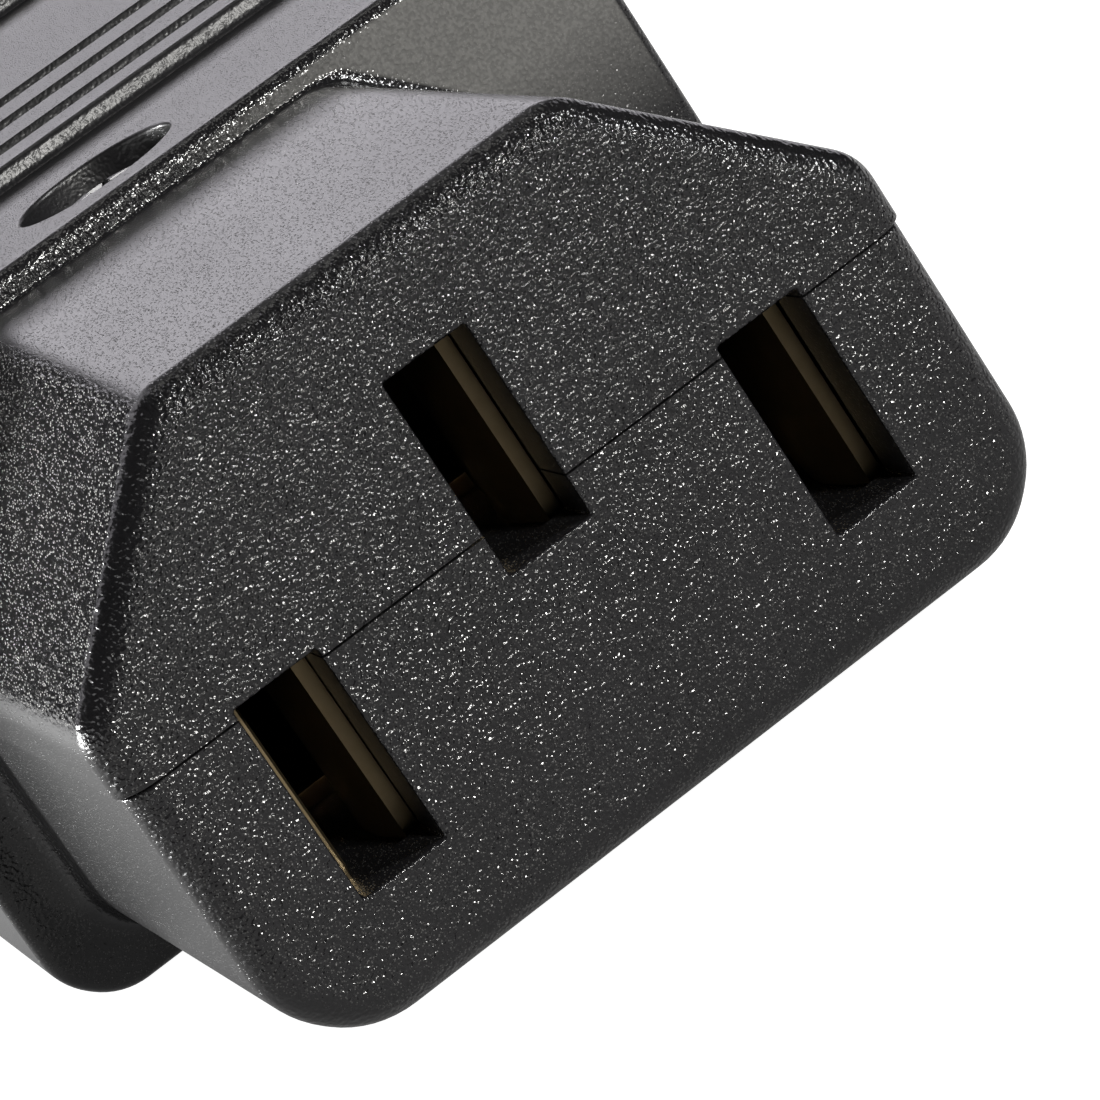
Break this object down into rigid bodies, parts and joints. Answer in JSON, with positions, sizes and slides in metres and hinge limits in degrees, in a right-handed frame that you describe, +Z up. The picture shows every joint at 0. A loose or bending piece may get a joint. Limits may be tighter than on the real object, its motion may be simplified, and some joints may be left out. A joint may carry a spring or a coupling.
{
  "type": "c13 power connector",
  "caption": "Rewireable C13 power connector: split moulded housing with a cut-corner nose, upright pin slots, grip grooves, screw terminals and a round cable entry.",
  "frame": {"origin": "on the engagement face, midway between the line and neutral pin slots", "axes": "+X from the neutral slot to the line slot, +Y back into the connector along the pins, +Z up from the pin row towards the earth slot and the cut corners"},
  "size_m": [0.0272, 0.063, 0.0186],
  "materials": {
    "housing_plastic": "black moulded plastic with a fine spark-eroded grain",
    "contact_brass": "stamped, lightly tarnished",
    "screw_steel": "bright zinc-plated steel"
  },
  "bodies": {
    "root": {"cord_clamp_bar": "housing_plastic", "earth_clamp_washer": "screw_steel", "earth_contact": "contact_brass", "earth_nut_plate": "contact_brass", "earth_terminal_screw": "screw_steel", "front_housing_screw": "screw_steel", "left_cord_clamp_screw": "screw_steel", "left_rear_housing_screw": "screw_steel", "line_clamp_washer": "screw_steel", "line_contact": "contact_brass", "line_nut_plate": "contact_brass", "line_terminal_screw": "screw_steel", "lower_housing": "housing_plastic", "neutral_clamp_washer": "screw_steel", "neutral_contact": "contact_brass", "neutral_nut_plate": "contact_brass", "neutral_terminal_screw": "screw_steel", "right_cord_clamp_screw": "screw_steel", "right_rear_housing_screw": "screw_steel", "upper_housing": "housing_plastic"}
  },
  "joints": []
}
